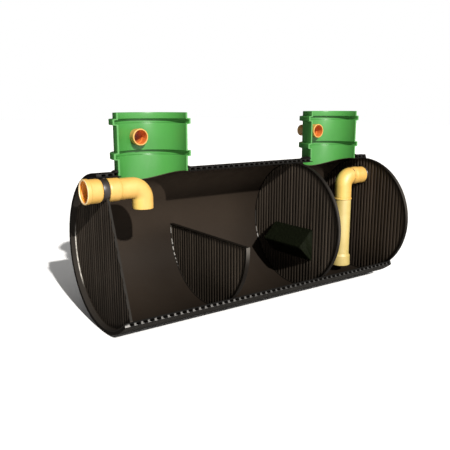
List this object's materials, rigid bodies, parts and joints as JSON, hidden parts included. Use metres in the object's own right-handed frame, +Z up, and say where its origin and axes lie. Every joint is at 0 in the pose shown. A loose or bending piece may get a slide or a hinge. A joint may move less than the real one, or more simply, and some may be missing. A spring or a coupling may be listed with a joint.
{
  "type": "cutaway oil separator tank",
  "caption": "Horizontal round oil separator tank shown cut open: ribbed walls, baffle, partition with coalescer, inlet and outlet elbows, access shafts on top.",
  "frame": {"origin": "on the tank's bottom line at mid-length, where the tank lies on its bedding", "axes": "+X along the tank towards the outlet end, +Z up, -Y out of the opened side"},
  "size_m": [3.096, 1.166, 1.6248],
  "materials": {
    "tank_plastic": "dark brown-black polyethylene, satin",
    "panel_plastic": "dark brown-black ribbed polyethylene, satin",
    "coalescer_mesh": "very dark green open mesh",
    "green_plastic": "light green polyethylene, satin",
    "orange_pipe": "yellow-orange sewer pipe, smooth",
    "seal_rubber": "black rubber",
    "weld_plastic": "black extrusion weld"
  },
  "bodies": {
    "root": {"shell_outer_skin": "tank_plastic", "shell_inner_skin": "tank_plastic", "shell_web_rings": "tank_plastic", "inlet_end_wall": "panel_plastic", "outlet_end_wall": "panel_plastic", "partition_wall": "panel_plastic", "coalescer_block": "coalescer_mesh", "sludge_baffle": "panel_plastic", "inlet_socket_pipe": "orange_pipe", "inlet_wall_seal": "seal_rubber", "inlet_elbow_socket": "orange_pipe", "inlet_elbow_bend": "orange_pipe", "inlet_elbow_leg": "orange_pipe", "outlet_socket_pipe": "orange_pipe", "outlet_wall_seal": "seal_rubber", "outlet_elbow_socket": "orange_pipe", "outlet_elbow_bend": "orange_pipe", "outlet_elbow_leg": "orange_pipe", "outlet_joint_ring": "orange_pipe", "outlet_dip_pipe": "orange_pipe", "inlet_shaft": "green_plastic", "inlet_shaft_weld_seam": "weld_plastic", "inlet_shaft_stub": "orange_pipe", "outlet_shaft": "green_plastic", "outlet_shaft_weld_seam": "weld_plastic", "outlet_shaft_stub": "orange_pipe"}
  },
  "joints": []
}
